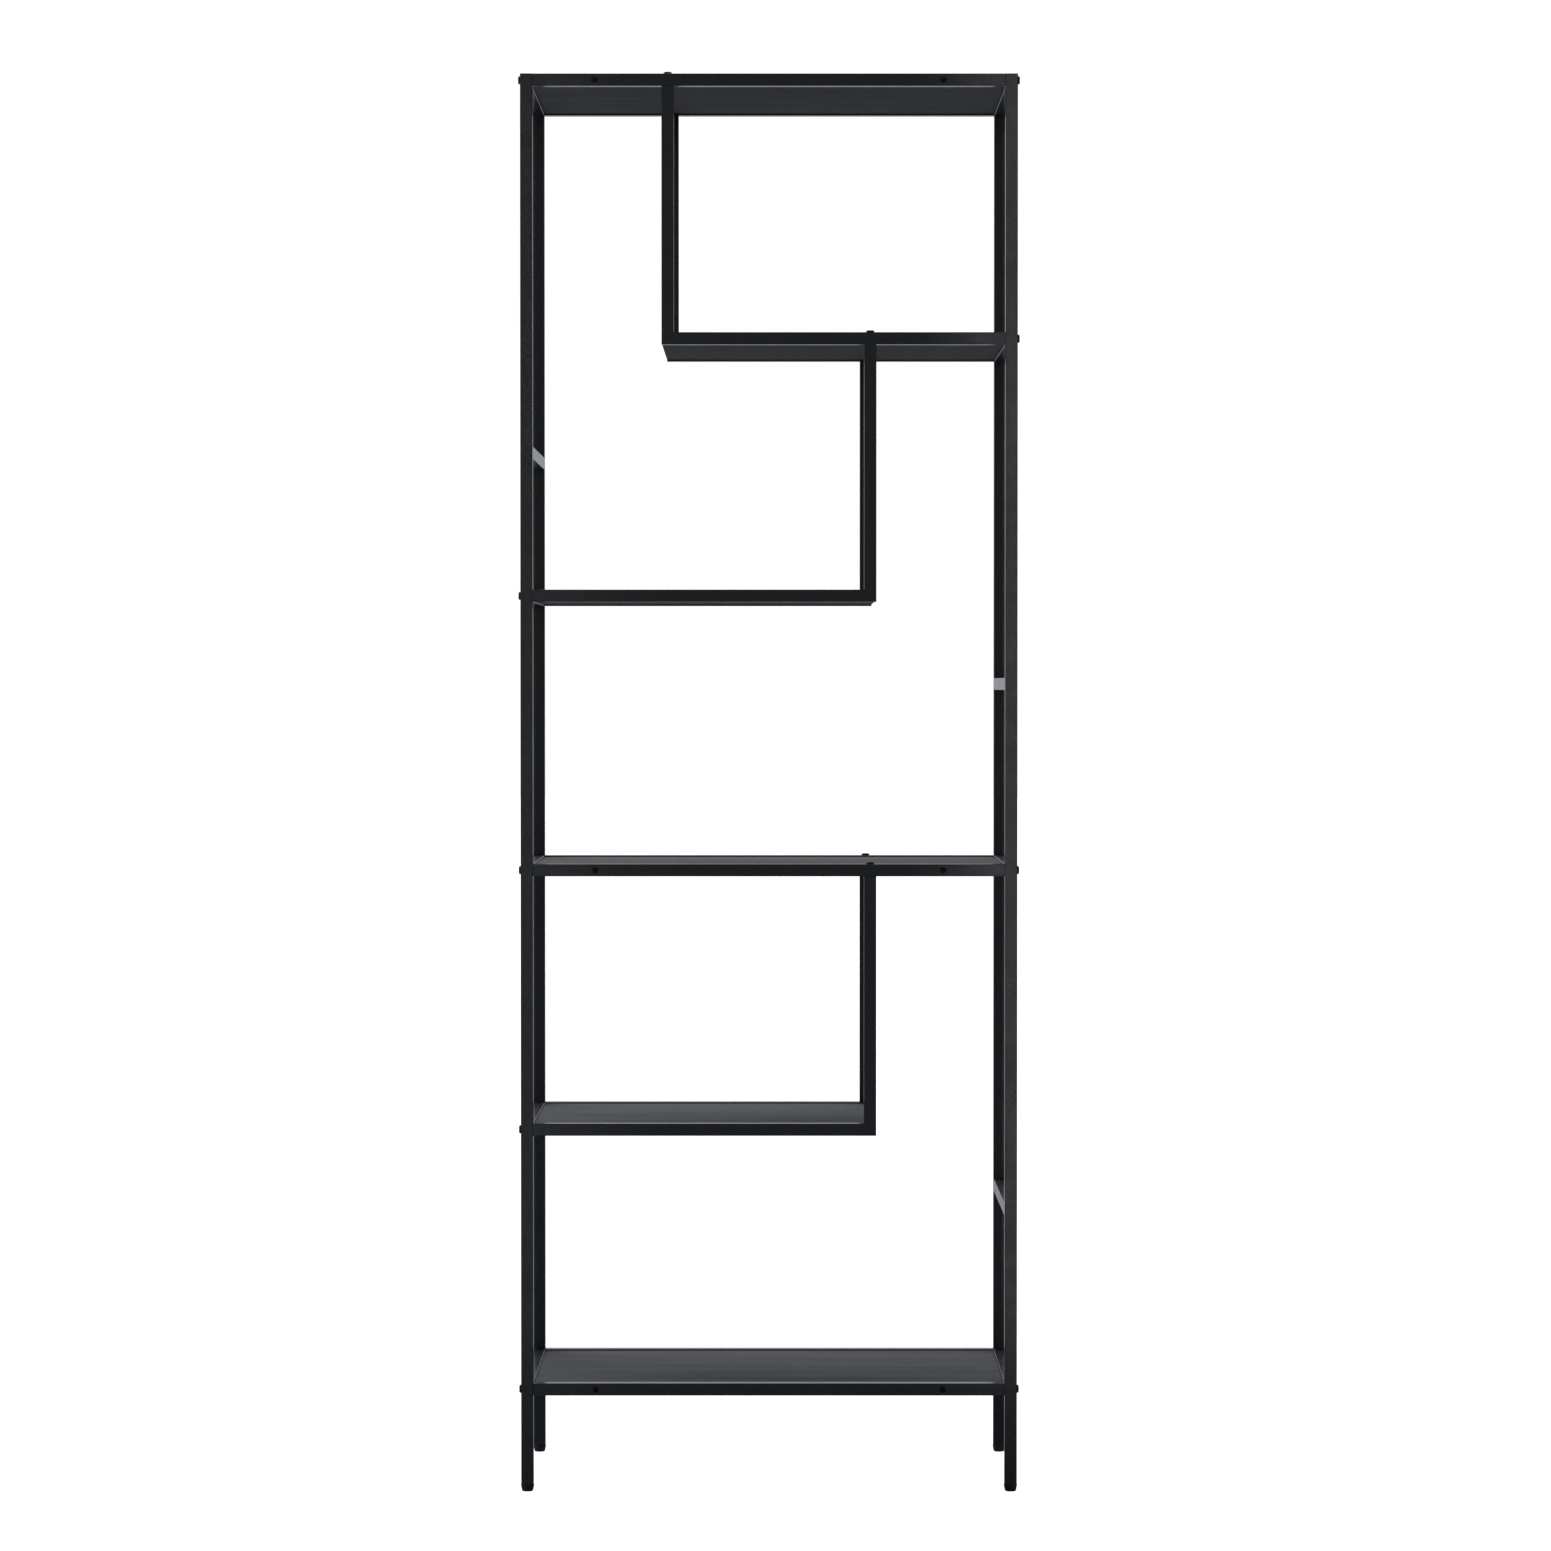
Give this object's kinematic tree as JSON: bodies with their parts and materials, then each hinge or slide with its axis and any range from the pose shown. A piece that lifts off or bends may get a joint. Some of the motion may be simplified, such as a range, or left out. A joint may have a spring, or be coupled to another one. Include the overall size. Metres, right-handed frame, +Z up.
{
  "type": "bookcase",
  "caption": "Tall open bookcase: black square-tube steel frame with dark wood-grain boards, some full width and some hung to one side on L-shaped tube frames, on levelling feet.",
  "frame": {"origin": "centre of the footprint, on the floor, with the feet screwed right in", "axes": "+Z up, +X to the right and -Y to the front as seen from the front"},
  "size_m": [0.6532, 0.3544, 1.8526],
  "materials": {
    "tube": "matt black powder coat",
    "board": "black ash wood-grain melamine",
    "bolt": "satin black",
    "foot": "moulded black",
    "plug": "moulded black",
    "stem": "zinc plated",
    "zinc_steel": "zinc plated"
  },
  "bodies": {
    "frame": {"upright_front_left": "tube", "upright_front_right": "tube", "upright_rear_left": "tube", "upright_rear_right": "tube", "rung_left_1": "tube", "rung_left_2": "tube", "rung_left_3": "tube", "rung_left_4": "tube", "rung_left_5": "tube", "rung_left_6": "tube", "rung_right_1": "tube", "rung_right_2": "tube", "rung_right_3": "tube", "rung_right_4": "tube", "rung_right_5": "tube", "rung_right_6": "tube", "rail_front_1": "tube", "rail_front_2": "tube", "rail_front_3": "tube", "rail_front_4": "tube", "rail_front_5": "tube", "rail_front_6": "tube", "rail_rear_1": "tube", "rail_rear_2": "tube", "rail_rear_3": "tube", "rail_rear_4": "tube", "rail_rear_5": "tube", "rail_rear_6": "tube", "post_front_1": "tube", "post_front_2": "tube", "post_front_3": "tube", "post_rear_1": "tube", "post_rear_2": "tube", "post_rear_3": "tube", "board_1": "board", "board_2": "board", "board_3": "board", "board_4": "board", "board_5": "board", "board_6": "board", "foot_inserts": "plug", "top_plugs": "plug", "side_bolts": "bolt", "post_bolts": "bolt", "board_screws": "bolt", "rail_end_plugs": "zinc_steel", "post_end_plugs": "zinc_steel", "board_inserts": "zinc_steel", "board_pins": "zinc_steel"},
    "stem_front_left": {"foot_stem_front_left": "stem"},
    "foot_front_left": {"foot_base_front_left": "foot"},
    "stem_front_right": {"foot_stem_front_right": "stem"},
    "foot_front_right": {"foot_base_front_right": "foot"},
    "stem_rear_left": {"foot_stem_rear_left": "stem"},
    "foot_rear_left": {"foot_base_rear_left": "foot"},
    "stem_rear_right": {"foot_stem_rear_right": "stem"},
    "foot_rear_right": {"foot_base_rear_right": "foot"}
  },
  "joints": [
    {"name": "foot_lift_front_left", "type": "slide", "parent": "frame", "child": "stem_front_left", "axis": [0, 0, -1], "range_m": [0, 0.01]},
    {"name": "foot_turn_front_left", "type": "hinge", "parent": "stem_front_left", "child": "foot_front_left", "pos_m": [-0.316, -0.167, 0.005], "axis": [0, 0, -1], "range_deg": [0, 3600]},
    {"name": "foot_lift_front_right", "type": "slide", "parent": "frame", "child": "stem_front_right", "axis": [0, 0, -1], "range_m": [0, 0.01]},
    {"name": "foot_turn_front_right", "type": "hinge", "parent": "stem_front_right", "child": "foot_front_right", "pos_m": [0.316, -0.167, 0.005], "axis": [0, 0, -1], "range_deg": [0, 3600]},
    {"name": "foot_lift_rear_left", "type": "slide", "parent": "frame", "child": "stem_rear_left", "axis": [0, 0, -1], "range_m": [0, 0.01]},
    {"name": "foot_turn_rear_left", "type": "hinge", "parent": "stem_rear_left", "child": "foot_rear_left", "pos_m": [-0.316, 0.167, 0.005], "axis": [0, 0, -1], "range_deg": [0, 3600]},
    {"name": "foot_lift_rear_right", "type": "slide", "parent": "frame", "child": "stem_rear_right", "axis": [0, 0, -1], "range_m": [0, 0.01]},
    {"name": "foot_turn_rear_right", "type": "hinge", "parent": "stem_rear_right", "child": "foot_rear_right", "pos_m": [0.316, 0.167, 0.005], "axis": [0, 0, -1], "range_deg": [0, 3600]}
  ],
  "couplings": [
    {"joint": "foot_turn_front_left", "follows": "foot_lift_front_left", "rad_per_m": 6283.2},
    {"joint": "foot_turn_front_right", "follows": "foot_lift_front_right", "rad_per_m": 6283.2},
    {"joint": "foot_turn_rear_left", "follows": "foot_lift_rear_left", "rad_per_m": 6283.2},
    {"joint": "foot_turn_rear_right", "follows": "foot_lift_rear_right", "rad_per_m": 6283.2}
  ]
}
